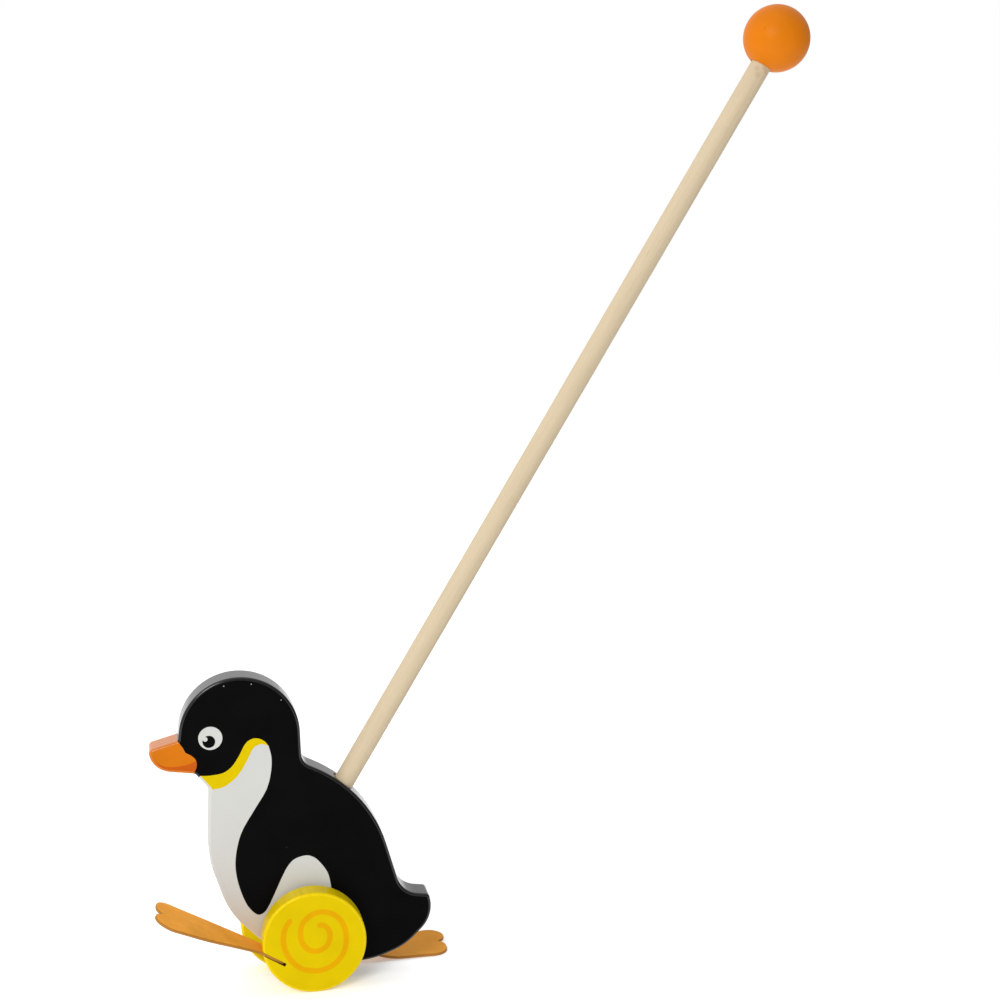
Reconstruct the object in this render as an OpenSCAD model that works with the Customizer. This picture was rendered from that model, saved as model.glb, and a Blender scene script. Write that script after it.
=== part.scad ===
// Push-along penguin: a board-cut penguin on two off-centre wheels, pushed by a long round
// stick with a ball on its end. A leather foot stands in a slot in each wheel's rim, so the
// feet slap the floor as the wheels turn, and the off-centre wheels make the penguin waddle.
//
// Frame: +Z up, the penguin looks along -X, its left side is -Y. The origin is on the floor,
// straight below the middle of the axle. Millimetres.

/* [Body] */
// Height of the penguin, from its belly to the crown of its head
body_h = 177; // [145:1:215]
// Thickness of the board that the penguin is cut from
body_t = 18; // [15:0.1:24]
// Rounding of the board's edges
edge_r = 1.5; // [0.8:0.1:1.8]

/* [Wheels] */
// Diameter of each wheel
wheel_d = 60; // [50:1:72]
// Thickness of each wheel
wheel_t = 14; // [12:0.5:18]
// Distance from a wheel's middle to its axle hole, which gives the waddle
waddle = 5; // [0:0.5:8]
// Rounding of the wheel's rims
rim_r = 1.5; // [0.5:0.1:2.5]
// Gap between the board and each wheel
side_gap = 2; // [1:0.25:4]

/* [Axle] */
// Diameter of the wooden axle
axle_d = 8; // [6:0.5:10]
// Depth of the blind hole in each wheel that takes the axle's end
axle_seat = 10; // [7:0.5:11]

/* [Feet] */
// Length of a whole foot, from the end glued into its wheel to its toes
foot_len = 82; // [68:1:98]
// Width of a foot across the toes
foot_w = 38; // [31:1:46]
// Thickness of the leather
foot_t = 1.6; // [1.2:0.1:2.2]
// Length of leather glued into the left wheel's slot
left_glued = 14; // [10:0.5:17]
// Length of leather glued into the right wheel's slot
right_glued = 10; // [8:0.5:17]
// Place of the slot's mouth on the left wheel, in degrees from the back of the wheel
left_slot_at = 187.5; // [165:0.5:200]
// Place of the slot's mouth on the right wheel, in degrees from the back of the wheel
right_slot_at = -16; // [-25:1:-8]

/* [Stick] */
// Diameter of the stick
stick_d = 12; // [9:0.1:14.5]
// Length of the whole stick
stick_len = 526; // [400:1:640]
// Lean of the stick, in degrees from upright
stick_lean = 32; // [25:0.5:40]
// Depth of the blind hole in the penguin's back
back_seat = 32; // [22:1:38]
// Diameter of the ball on the stick's end
ball_d = 38; // [32:1:48]

/* [Fits] */
// Radial clearance of the axle in the board, a running fit
run_clear = 0.08; // [0.02:0.01:0.1]
// Clearance on each side of the leather in its slot
slot_clear = 0.15; // [0.05:0.05:0.3]
// Space left in a slot past the deeper foot's end
slot_end_clear = 1; // [0.5:0.25:3]

/* [Hidden] */
$fn = 96;

wheel_r = wheel_d / 2;
axle_r = axle_d / 2;
stick_r = stick_d / 2;
ball_r = ball_d / 2;
wheel_in = body_t / 2 + side_gap;          // |Y| of a wheel's inner face
wheel_out = wheel_in + wheel_t;            // |Y| of its outer face
k = body_h / 177;                          // scale of the penguin's outline
slot_len = max(left_glued, right_glued) + slot_end_clear;

// Direction that a slot points in, seen from the wheel's middle: a chord, not a radius
slot_turn = -39.5;
// Distance from the slot's mouth to the line that the foot bends about
bend_out = 1.7;
// Gap between a foot's glued part and the part that bends
root_gap = 1.2;
// Short bend of the lifted left foot, just outside its slot
left_turn = 3;
left_bend = 12;

// A corner's arc: p is [x, y, radius], a and b are its neighbours
function unit(v) = v / norm(v);
function xy(p) = [p[0], p[1]];
function arc(c, r, a0, d, n) = [for (i = [0:n]) c + r * [cos(a0 + d * i / n), sin(a0 + d * i / n)]];
function corner(a, p, b) =
    p[2] == 0 ? [xy(p)] :
    let (
        u = unit(xy(a) - xy(p)),
        w = unit(xy(b) - xy(p)),
        half = acos(u * w) / 2,
        c = xy(p) + unit(u + w) * p[2] / sin(half),
        s = xy(p) + u * p[2] / tan(half) - c,
        e = xy(p) + w * p[2] / tan(half) - c,
        a0 = atan2(s[1], s[0]),
        raw = atan2(e[1], e[0]) - a0,
        d = raw > 180 ? raw - 360 : (raw < -180 ? raw + 360 : raw)
    )
    arc(c, p[2], a0, d, max(2, min(ceil(abs(d) / 8), floor(abs(d) * PI / 180 * p[2] / 0.7))));
// A closed outline from corner points [x, y, radius], with no two points closer than least
least = 0.3;
function rounded(pts) =
    let (
        n = len(pts),
        all = [for (i = [0:n - 1]) each corner(pts[(i + n - 1) % n], pts[i], pts[(i + 1) % n])],
        m = len(all)
    )
    [for (i = [0:m - 1]) if (norm(all[i] - all[(i + m - 1) % m]) > least) all[i]];
// The same outline moved inwards by d, when it runs clockwise
function inset(pts, d) =
    let (n = len(pts))
    [for (i = [0:n - 1])
        let (
            u = unit(pts[i] - pts[(i + n - 1) % n]),
            w = unit(pts[(i + 1) % n] - pts[i]),
            m = unit([u[1] + w[1], -u[0] - w[0]]),
            half = m * [u[1], -u[0]]
        )
        pts[i] + m * d / max(half, 0.5)];

// Triangles that fill a clockwise outline, cut off one corner at a time
function side_of(a, b, p) = (b[0] - a[0]) * (p[1] - a[1]) - (b[1] - a[1]) * (p[0] - a[0]);
function is_ear(pts, a, b, c, left) =
    side_of(pts[a], pts[b], pts[c]) < -0.000001 &&
    len([for (j = left)
        if (j != a && j != b && j != c
            && side_of(pts[a], pts[b], pts[j]) <= 0
            && side_of(pts[b], pts[c], pts[j]) <= 0
            && side_of(pts[c], pts[a], pts[j]) <= 0) j]) == 0;
function ears(pts, left, i = 0) =
    len(left) == 3 ? [left] :
    let (
        n = len(left),
        a = left[(i + n - 1) % n],
        b = left[i % n],
        c = left[(i + 1) % n]
    )
    is_ear(pts, a, b, c, left)
        ? concat([[a, b, c]], ears(pts, [for (j = left) if (j != b) j], (i + 1) % n))
        : ears(pts, left, i + 1);

// Outline of the penguin round its axle hole, clockwise from the beak, seen from its left
head = [-31.7, 121.3];
head_r = 34.3;
// Its corners: the direction of each from the head's middle, and half of the turn that it takes
head_turns = [[153.5, 18.5], [112.5, 22.5], [67.5, 22.5], [22.5, 22.5]];
outline = concat(
    [for (a = head_turns) [head[0] + head_r / cos(a[1]) * cos(a[0]),
                           head[1] + head_r / cos(a[1]) * sin(a[0]), head_r]],
    [
        [3, 102.8, 8],          // nape
        [41, 84.2, 78],         // back
        [58.4, 19.6, 14],       // root of the tail
        [74.2, 17.2, 2.5],      // tip of the tail
        [77.3, 4.2, 19.5],      // rump
        [59.6, -13, 36.7],
        [39.5, -20.5, 52],
        [-8, -19.5, 26],        // belly
        [-42, 16, 50],
        [-52.6, 50, 55],        // chest
        [-50, 91.2, 2],         // chin
        [-57.6, 100.8, 3],
        [-72.8, 103.1, 6.6],    // under the beak
        [-81.4, 106.3, 12.8],
        [-83.4, 116.4, 3],      // tip of the beak
        [-66.4, 120.8, 1.5]     // brow
    ]);
slab = [for (p = rounded(outline)) k * p];

// Where the stick enters the back, and the direction that it points in
stick_in = k * [28.1, 88];
stick_dir = [sin(stick_lean), cos(stick_lean)];

// Middle of each wheel, the mouth of its slot, and the line that its foot bends about
left_mid = [waddle, wheel_r];
right_mid = [-waddle, wheel_r];
function mouth(mid, at) = mid + wheel_r * [cos(at), sin(at)];
function bend_line(mid, at) =
    mouth(mid, at) + bend_out * [cos(at + slot_turn), sin(at + slot_turn)];
left_line = bend_line(left_mid, left_slot_at);
right_line = bend_line(right_mid, right_slot_at);
// Length of each foot past its bend line
left_out = foot_len - left_glued - bend_out;
right_out = foot_len - right_glued - bend_out;

// The right foot curves down from its slot until it lies flat on the floor
right_turn = -(right_slot_at + slot_turn);
right_bend_r = (right_line[1] - foot_t / 2 - 0.2) / (1 - cos(right_turn));
right_bend = right_bend_r * right_turn * PI / 180;

// Board with rounded edges: rings of the outline, one behind the other
module board(pts, t, r) {
    n = len(pts);
    h = t / 2;
    steps = [90, 60, 30, 0];
    rings = concat(
        [for (a = steps) [-(h - r + r * sin(a)), r * (1 - cos(a))]],
        [for (a = [0, 30, 60, 90]) [h - r + r * sin(a), r * (1 - cos(a))]]);
    m = len(rings);
    points = [for (q = rings) each [for (p = inset(pts, q[1])) [p[0], q[0], p[1]]]];
    sides = [for (j = [0:m - 2], i = [0:n - 1])
        [j * n + i, (j + 1) * n + i, (j + 1) * n + (i + 1) % n, j * n + (i + 1) % n]];
    front = ears(inset(pts, r), [for (i = [0:n - 1]) i]);
    back = [for (f = front) [for (i = [2:-1:0]) (m - 1) * n + f[i]]];
    polyhedron(points, concat(sides, front, back), convexity = 8);
}

// Everything that stands along the stick is drawn along +Z and put in place by this
module along_stick() {
    translate([stick_in[0], 0, wheel_r + stick_in[1]]) rotate([0, stick_lean, 0]) children();
}

module body() {
    color([0.05, 0.05, 0.05]) difference() {
        translate([0, 0, wheel_r]) board(slab, body_t, edge_r);
        // Axle hole, right through
        translate([0, 0, wheel_r]) rotate([90, 0, 0])
            cylinder(r = axle_r + run_clear, h = body_t + 2, center = true);
        // Blind hole for the stick, and its wider mouth of bare wood
        along_stick() {
            translate([0, 0, -back_seat]) cylinder(r = stick_r, h = back_seat + 10);
            translate([0, 0, -1.4]) cylinder(r = stick_r + 1.1, h = 12);
        }
    }
}

// Wooden pin with a small chamfer at each end
module axle() {
    len = 2 * (wheel_in + axle_seat) - 1;
    c = 0.6;
    color([0.85, 0.75, 0.58]) translate([0, 0, wheel_r]) rotate([90, 0, 0])
        rotate_extrude() polygon([
            [0, -len / 2],
            [axle_r - c, -len / 2],
            [axle_r, -len / 2 + c],
            [axle_r, len / 2 - c],
            [axle_r - c, len / 2],
            [0, len / 2]
        ]);
}

// Wheel on the left side, with its middle at mid and its slot's mouth at the angle at
module wheel(mid, at) {
    difference() {
        translate([mid[0], 0, mid[1]]) rotate([90, 0, 0]) rotate_extrude() {
            translate([0, wheel_in]) square([wheel_r - rim_r, wheel_t]);
            translate([0, wheel_in + rim_r]) square([wheel_r, wheel_t - 2 * rim_r]);
            for (z = [wheel_in + rim_r, wheel_out - rim_r])
                translate([wheel_r - rim_r, z]) circle(r = rim_r, $fn = 48);
        }
        translate([0, 0, wheel_r]) rotate([90, 0, 0])
            translate([0, 0, wheel_in - 1]) cylinder(r = axle_r, h = axle_seat + 1);
        in_slot(mid, at)
            translate([-slot_len, -wheel_out - 1, -foot_t / 2 - slot_clear])
                cube([slot_len + 12, wheel_t + 2, foot_t + 2 * slot_clear]);
    }
}

// Puts its children at a slot's mouth, with +X pointing out of the slot
module in_slot(mid, at) {
    m = mouth(mid, at);
    translate([m[0], 0, m[1]]) rotate([0, -(at + slot_turn), 0]) children();
}

// Part of a foot that stands in its slot, glued
module root(mid, at, glued) {
    in_slot(mid, at)
        translate([-glued, -wheel_out, -foot_t / 2])
            cube([glued + bend_out - root_gap, wheel_t, foot_t]);
}

// Plan of a foot: s along the leather from the bend line, v outwards from the wheel's inner face
function foot_plan(out) = rounded([
    [0, 0.4, 0],
    [out - 0.5, 0.4, 9],                // inner toe
    [out - 0.5, foot_w * 0.43, 7],
    [out - 5, foot_w * 0.51, 1.2],      // notch between the toes
    [out, foot_w * 0.59, 7],
    [out, foot_w * 1.07, 10],           // outer toe
    [out * 0.5, foot_w * 0.79, 90],
    [out * 0.14, foot_w * 0.5, 14],     // shoulder
    [0, wheel_t, 0]
]);

// Foot outside its wheel: it leaves the bend line, curves by turn over the length bend, then
// lies straight along +X. Drawn on the left side, with its bend line at [0, 0].
module flap(out, turn, bend) {
    r = bend / (turn * PI / 180);
    function along(s) = s < bend ? -r * sin(turn * (1 - s / bend)) : s - bend;
    translate([r * sin(turn), 0, -r * (1 - cos(turn))]) intersection() {
        rotate([90, 0, 0]) linear_extrude(height = wheel_in + foot_w + 2) {
            translate([0, -foot_t / 2]) square([out + 2 - bend, foot_t]);
            intersection() {
                translate([0, r]) difference() {
                    circle(r = r + foot_t / 2, $fn = 360);
                    circle(r = r - foot_t / 2, $fn = 360);
                }
                translate([0, r]) polygon([
                    [0, 0],
                    [-1.5 * r * sin(turn), -1.5 * r * cos(turn)],
                    [0, -1.5 * r]
                ]);
            }
        }
        translate([0, 0, -foot_t]) linear_extrude(height = 2 * foot_t + r)
            polygon(concat([for (p = foot_plan(out)) [along(p[0]), -wheel_in - p[1]]],
                           [[along(0) - 2 * foot_t, -wheel_in - wheel_t],
                            [along(0) - 2 * foot_t, -wheel_in - 0.4]]));
    }
}

module wheel_left() {
    color([0.91, 0.80, 0.03]) wheel(left_mid, left_slot_at);
}

module wheel_right() {
    color([0.91, 0.80, 0.03]) mirror([0, 1, 0]) wheel(right_mid, right_slot_at);
}

module foot_left_root() {
    color([0.91, 0.60, 0.22]) root(left_mid, left_slot_at, left_glued);
}

module foot_right_root() {
    color([0.91, 0.60, 0.22]) mirror([0, 1, 0]) root(right_mid, right_slot_at, right_glued);
}

module foot_left() {
    color([0.91, 0.60, 0.22])
        translate([left_line[0], 0, left_line[1]])
            rotate([0, -(left_slot_at + slot_turn), 0])
                rotate([0, -left_turn, 0]) flap(left_out, left_turn, left_bend);
}

module foot_right() {
    color([0.91, 0.60, 0.22]) mirror([0, 1, 0])
        translate([right_line[0], 0, right_line[1]]) flap(right_out, right_turn, right_bend);
}

module stick() {
    c = 0.8;
    color([0.86, 0.78, 0.63]) along_stick() translate([0, 0, 0.3 - back_seat])
        rotate_extrude() polygon([
            [0, 0],
            [stick_r - c, 0],
            [stick_r, c],
            [stick_r, stick_len - c],
            [stick_r - c, stick_len],
            [0, stick_len]
        ]);
}

// Ball with a small flat and a blind hole where the stick goes in
module ball() {
    past = 3;
    mid = stick_len + 0.3 - back_seat - past;
    flat = sqrt(ball_r * ball_r - (stick_r + 1) * (stick_r + 1));
    color([0.91, 0.53, 0.11]) along_stick() translate([0, 0, mid]) difference() {
        sphere(r = ball_r);
        translate([0, 0, -flat - ball_r]) cylinder(r = ball_r, h = ball_r);
        translate([0, 0, -ball_r - 1]) cylinder(r = stick_r, h = ball_r + 1 + past + 0.5);
    }
}

body();
axle();
wheel_left();
wheel_right();
foot_left_root();
foot_right_root();
foot_left();
foot_right();
stick();
ball();
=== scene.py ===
"""Push-along penguin: its painted board, wheels, leather feet, stick and ball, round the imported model.

The penguin looks along -X and its left side is -Y. Every object is in metres. Shapes are drawn in
millimetres and made metres by MM when they are put in place.
"""

import math

import bmesh
import bpy
from mathutils import Matrix, Vector
from mathutils.geometry import delaunay_2d_cdt


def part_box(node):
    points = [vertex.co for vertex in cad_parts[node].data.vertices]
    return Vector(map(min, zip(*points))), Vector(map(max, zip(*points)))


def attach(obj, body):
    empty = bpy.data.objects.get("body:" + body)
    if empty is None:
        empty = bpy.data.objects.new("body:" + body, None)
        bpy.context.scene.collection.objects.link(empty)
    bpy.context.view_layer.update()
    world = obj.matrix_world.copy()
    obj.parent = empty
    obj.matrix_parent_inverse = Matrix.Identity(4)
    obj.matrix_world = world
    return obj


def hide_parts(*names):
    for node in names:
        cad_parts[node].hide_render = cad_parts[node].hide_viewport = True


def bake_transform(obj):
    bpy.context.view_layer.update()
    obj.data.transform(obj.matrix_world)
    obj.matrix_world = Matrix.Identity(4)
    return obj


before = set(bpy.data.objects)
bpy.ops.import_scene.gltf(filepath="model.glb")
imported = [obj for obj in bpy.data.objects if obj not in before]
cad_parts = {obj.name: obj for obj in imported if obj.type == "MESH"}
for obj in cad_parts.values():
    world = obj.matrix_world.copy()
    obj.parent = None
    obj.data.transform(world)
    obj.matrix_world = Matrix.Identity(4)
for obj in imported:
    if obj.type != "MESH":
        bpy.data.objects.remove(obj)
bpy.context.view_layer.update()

bl_info = {
    "name": "Push-along penguin",
    "version": (1, 0, 0),
    "blender": (4, 5, 0),
    "location": "View3D > Sidebar > Penguin",
    "description": "Makes a wooden push-along penguin round its packed model",
    "category": "Object",
}

MM = 0.001
LEFT, RIGHT = -1, 1


# ---------------------------------------------------------------- sizes taken from the frame


def middle(node):
    """Middle of a CAD node's box."""
    low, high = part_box(node)
    return (low + high) / 2


def extent(node):
    """Size of a CAD node's box along X, Y and Z."""
    low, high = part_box(node)
    return high - low


AXLE = middle("axle")
WHEEL_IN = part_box("wheel_right")[0].y    # |Y| of the wheels' inner faces


# ---------------------------------------------------------------- outlines, in millimetres

HEAD = (-31.7, 121.3)
HEAD_R = 34.3
# The head's corners: the direction of each from its middle, and half of the turn that it takes
HEAD_TURNS = ((153.5, 18.5), (112.5, 22.5), (67.5, 22.5), (22.5, 22.5))
PENGUIN = [
    (HEAD[0] + HEAD_R / math.cos(math.radians(half)) * math.cos(math.radians(a)),
     HEAD[1] + HEAD_R / math.cos(math.radians(half)) * math.sin(math.radians(a)), HEAD_R)
    for a, half in HEAD_TURNS
] + [
    (3, 102.8, 8),          # nape
    (41, 84.2, 78),         # back
    (58.4, 19.6, 14),       # root of the tail
    (74.2, 17.2, 2.5),      # tip of the tail
    (77.3, 4.2, 19.5),      # rump
    (59.6, -13, 36.7),
    (39.5, -20.5, 52),
    (-8, -19.5, 26),        # belly
    (-42, 16, 50),
    (-52.6, 50, 55),        # chest
    (-50, 91.2, 2),         # chin
    (-57.6, 100.8, 3),
    (-72.8, 103.1, 6.6),    # under the beak
    (-81.4, 106.3, 12.8),
    (-83.4, 116.4, 3),      # tip of the beak
    (-66.4, 120.8, 1.5),    # brow
]
# Where the paints meet, as points on smooth lines
FACE_LINE = [(-66.5, 122.5), (-65.5, 119.4), (-63.6, 116.4), (-62.5, 114), (-59.5, 112), (-57.5, 110.1),
             (-56.5, 107.7), (-56.8, 104.6), (-58.1, 101.8), (-60, 97)]
LIP_LINE = [(-86, 112.6), (-81.5, 112.9), (-79.5, 110), (-76.5, 107.7), (-73.3, 106.5), (-69.1, 106.1),
            (-64.7, 106.4), (-60.4, 107.2), (-55, 109.2)]
COLLAR_TOP = [(-61, 100.2), (-56.5, 99.8), (-50, 99.4), (-42.2, 100.3), (-36.9, 103.7), (-32.7, 109.5),
              (-29.1, 115.9), (-25.8, 118.8), (-21.8, 119.3), (-18, 117.5), (-15.5, 114.3)]
COLLAR_FOOT = [(-15.5, 114.3), (-18.8, 115.7), (-22, 115.1), (-24.7, 113), (-28.2, 106.4), (-32.5, 99.6),
               (-37.3, 94.9), (-42.5, 91.9), (-48.8, 91), (-53, 90.6)]
WING_FRONT = [(-15.5, 114.3), (-14.2, 107.3), (-14.9, 98.5), (-17.9, 88.5), (-24.9, 77.5), (-32, 66.3),
              (-35.4, 57.5), (-37.3, 46.9), (-36.9, 37.5), (-34.6, 27.7), (-31.2, 19.4), (-26.3, 14.1),
              (-22.4, 14.8), (-19.6, 18.2), (-15.8, 25.6), (-11.2, 35.1), (-7.4, 41.8), (-3.1, 45.8),
              (3.4, 47.3), (8, 45.6), (11, 42.6), (14, 38.4), (15.9, 34), (17.1, 26.4), (18.5, 10),
              (20, -8), (21, -30)]
EYE = ((-48.2, 121.3), 6.8)
PUPIL = ((-49.1, 119.3), 3.6)
GLINT = ((-51.1, 120.9), 1.35)
CHIPS = ((-39.3, 181.2), (-23.8, 181.3), (-7.3, 170.8))    # on the head's left side, in the frame
SPIRAL = [(-13.8, 14.3), (-16.2, 11), (-17.6, 6.6), (-17.9, 2.1), (-17, -3.1), (-14.7, -7.8),
          (-11.4, -12.2), (-7.2, -15.2), (-1.5, -16.7), (4.3, -16.6), (9.7, -14.5), (14.1, -10.6),
          (17, -5.8), (18.2, 0.1), (17.8, 6.3), (15.9, 11.5), (12.2, 15.7), (8, 17.8), (3.7, 18.4),
          (-0.7, 17.4), (-4.6, 14.7), (-7.1, 11.1), (-7.9, 6.7), (-7.5, 2.1), (-5.7, -1.6),
          (-2.9, -4.1), (0.4, -5), (4.3, -4.1), (7.3, -1.7), (8.8, 2), (8.8, 5.9), (7.2, 8.8),
          (5.1, 10.3), (3.2, 10.5)]

# Slots and feet: angles in degrees, lengths in millimetres, seen from the penguin's left
WADDLE = 5                  # from a wheel's middle to its axle hole
RUN_CLEAR = 0.08            # round the axle, in the board
AXLE_END_GAP = 0.5          # past the axle's end, in a wheel
SLOT_TURN = -39.5           # from the spoke at a slot's mouth to the way that the slot points
SLOT_AT = {LEFT: 187.5, RIGHT: -16}
GLUED = {LEFT: 14, RIGHT: 10}
SLOT_DEPTH = 15
SLOT_GAP = 0.15
BEND_OUT = 1.7              # from a slot's mouth to the line that its foot bends about
FOOT_LENGTH = 82
FOOT_WIDTH = 38
LEFT_TURN, LEFT_BEND = 3, 12

# Stick: where it enters the back, and its lean from upright in degrees
STICK_IN = (28.1, 88)
STICK_LEAN = 32
BACK_SEAT = 32
SEAT_GAP = 0.3              # from the bottom of the hole in the back to the stick's lower end
MOUTH_DEPTH = 1.4           # of the wider bare mouth round the stick
MOUTH_WIDER = 1.1
MOUTH_ASIDE = (-0.8, -0.5)  # the drill wandered to the front and to the left
BALL_PAST = 3               # from the stick's end to the ball's middle
PIT_TOWARDS = (-0.60, -0.75, 0.27)      # from the ball's middle to its pit
# Darker spots on the stick's near side, just below the ball
DARK_SPOTS = ((-2.5, 24), (1.2, 21.5), (3.5, 23), (-0.5, 27))   # across the stick, and down from its top end


LEAST = 0.05                 # points closer than this are one


def rounded(points, step=4):
    """A closed outline from corner points (x, y, radius), each corner an arc cut every step degrees."""
    outline = []
    for i, (x, y, radius) in enumerate(points):
        here = Vector((x, y))
        if radius == 0:
            outline.append(here)
            continue
        to_last = (Vector(points[i - 1][:2]) - here).normalized()
        to_next = (Vector(points[(i + 1) % len(points)][:2]) - here).normalized()
        half = math.acos(to_last.dot(to_next)) / 2
        centre = here + (to_last + to_next).normalized() * radius / math.sin(half)
        start = here + to_last * radius / math.tan(half) - centre
        end = here + to_next * radius / math.tan(half) - centre
        first = math.atan2(start.y, start.x)
        turn = (math.atan2(end.y, end.x) - first + math.pi) % math.tau - math.pi
        cuts = max(2, math.ceil(abs(math.degrees(turn)) / step))
        for j in range(cuts + 1):
            angle = first + turn * j / cuts
            outline.append(centre + radius * Vector((math.cos(angle), math.sin(angle))))
    return [p for i, p in enumerate(outline) if (p - outline[i - 1]).length > LEAST]


def smooth(points, cuts=6):
    """A smooth open line through the points."""
    line = [Vector(p) for p in points]
    ends = [2 * line[0] - line[1], *line, 2 * line[-1] - line[-2]]
    out = []
    for a, b, c, d in zip(ends, ends[1:], ends[2:], ends[3:]):
        for j in range(cuts):
            t = j / cuts
            out.append(0.5 * (2 * b + (c - a) * t + (2 * a - 5 * b + 4 * c - d) * t * t
                              + (3 * b - a - 3 * c + d) * t ** 3))
    return out + [line[-1]]


def disc(centre, radius, cuts=48):
    """A circle as a closed outline."""
    return [Vector(centre) + radius * Vector((math.cos(math.tau * i / cuts), math.sin(math.tau * i / cuts)))
            for i in range(cuts)]


def stroke(points, width, cuts=8):
    """The closed outline of a brush stroke of that width along a smooth line, with round ends."""
    line = smooth(points)
    sides = []
    for i, p in enumerate(line):
        along = (line[min(i + 1, len(line) - 1)] - line[max(i - 1, 0)]).normalized()
        sides.append((p, along, Vector((-along.y, along.x)) * width / 2))
    out = [p + side for p, _, side in sides]
    for (p, along, side), turn in ((sides[-1], 1), (sides[0], -1)):
        for j in range(1, cuts):
            angle = math.pi * j / cuts
            out.append(p + turn * (side * math.cos(angle) + along * (width / 2) * math.sin(angle)))
        if turn == 1:
            out += [q - edge for q, _, edge in reversed(sides)]
    return out


def holds(polygon, p):
    """Whether a closed outline holds the point p."""
    inside = False
    for a, b in zip(polygon, polygon[1:] + polygon[:1]):
        if (a.y > p.y) != (b.y > p.y) and p.x < a.x + (b.x - a.x) * (p.y - a.y) / (b.y - a.y):
            inside = not inside
    return inside


# ---------------------------------------------------------------- meshes


class Slab:
    """A flat piece with rounded edges, cut to an outline in the plane (u, w) and thick along h.

    paints lists (outlines, paint): a point takes the first paint whose outlines all hold it, or 0.
    The front face is at -h. Extra points inside the outline let the piece bend.
    """

    near = 2e-3

    def __init__(self, outline, thick, edge, front_paints=(), back_paints=(), extra=(), steps=6):
        self.outline = outline
        self.thick, self.edge, self.steps = thick, edge, steps
        self.inward = self._inward()
        self.points, self.faces, self.paints = [], [], []
        border = [p + n * edge for p, n in zip(outline, self.inward)]
        front = self._cap(border, front_paints, extra, -thick / 2)
        back = self._cap(border, back_paints, extra, thick / 2)
        self._band(front, back, front_paints)

    def _inward(self):
        area = sum(a.x * b.y - b.x * a.y for a, b in zip(self.outline, self.outline[1:] + self.outline[:1]))
        hand = 1 if area > 0 else -1
        ways = []
        for i, p in enumerate(self.outline):
            before = (p - self.outline[i - 1]).normalized()
            after = (self.outline[(i + 1) % len(self.outline)] - p).normalized()
            mean = Vector((-before.y - after.y, before.x + after.x)).normalized() * hand
            share = mean.dot(Vector((-before.y, before.x)) * hand)
            ways.append(mean / max(share, 0.5))
        return ways

    @staticmethod
    def paint_at(p, paints):
        for outlines, paint in paints:
            if all(holds(outline, p) for outline in outlines):
                return paint
        return 0

    def _cap(self, border, paints, extra, h):
        """Fills the border with triangles split along the paints. Gives the border's own points in
        order, each as (its index, the outline's side, the share along that side)."""
        count = len(border)
        spots = list(border)
        lines = [(i, (i + 1) % count) for i in range(count)]
        done = set()
        for outlines, _ in paints:
            for outline in outlines:
                if id(outline) in done:
                    continue
                done.add(id(outline))
                first = len(spots)
                spots += outline
                lines += [(first + i, first + (i + 1) % len(outline)) for i in range(len(outline))]
        spots += extra
        made, _, triangles, *_ = delaunay_2d_cdt(spots, lines, [], 0, self.near / 4)
        base = len(self.points)
        self.points += [(p.x, h, p.y) for p in made]
        used = set()
        for triangle in triangles:
            centre = sum((made[i] for i in triangle), Vector((0, 0))) / 3
            if holds(border, centre):
                self.faces.append([base + i for i in triangle])
                self.paints.append(self.paint_at(centre, paints))
                used.update(triangle)
        ring = []
        for i in used:
            for side in range(count):
                a, b = border[side], border[(side + 1) % count]
                along = (made[i] - a).dot(b - a) / (b - a).length_squared
                if -1e-6 < along < 1 - 1e-5 and (a + (b - a) * along - made[i]).length < self.near:
                    ring.append((side, max(along, 0), base + i))
                    break
        ring.sort()
        return ring

    def _band(self, front, back, paints):
        sides, half = len(self.outline), self.thick / 2 - self.edge
        rings = [[index for _, _, index in front]]
        angles = [90 - 90 * i / self.steps for i in range(1, self.steps + 1)]
        for angle, hand in [(a, -1) for a in angles] + [(a, 1) for a in reversed(angles)]:
            turn = math.radians(angle)
            h = hand * (half + self.edge * math.sin(turn))
            inset = self.edge * (1 - math.cos(turn))
            ring = []
            for side, share, _ in front:
                after = (side + 1) % sides
                a = self.outline[side] + self.inward[side] * inset
                b = self.outline[after] + self.inward[after] * inset
                p = a.lerp(b, share)
                ring.append(len(self.points))
                self.points.append((p.x, h, p.y))
            rings.append(ring)
        rings.append([index for _, _, index in back])
        count = len(front)
        for i in range(count):
            j = (i + 1) % count
            a, b = self.points[rings[0][i]], self.points[rings[0][j]]
            side = front[i][0]
            spot = Vector(((a[0] + b[0]) / 2, (a[2] + b[2]) / 2)) + self.inward[side] * 0.4
            paint = self.paint_at(spot, paints)
            for low, high in zip(rings, rings[1:]):
                self.faces.append([low[i], low[j], high[j], high[i]])
                self.paints.append(("edge", paint))


def turned(profile, cuts=64):
    """Points and faces of a closed solid turned about Z from a profile of (radius, height) pairs that
    starts and ends on the axis."""
    points, faces, rings = [], [], []
    for radius, height in profile:
        if radius == 0:
            rings.append([len(points)] * cuts)
            points.append((0, 0, height))
            continue
        rings.append(list(range(len(points), len(points) + cuts)))
        points += [(radius * math.cos(math.tau * i / cuts), radius * math.sin(math.tau * i / cuts), height)
                   for i in range(cuts)]
    for low, high in zip(rings, rings[1:]):
        for i in range(cuts):
            j = (i + 1) % cuts
            corners = dict.fromkeys((low[i], low[j], high[j], high[i]))
            if len(corners) > 2:
                faces.append(list(corners))
    return points, faces


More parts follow.
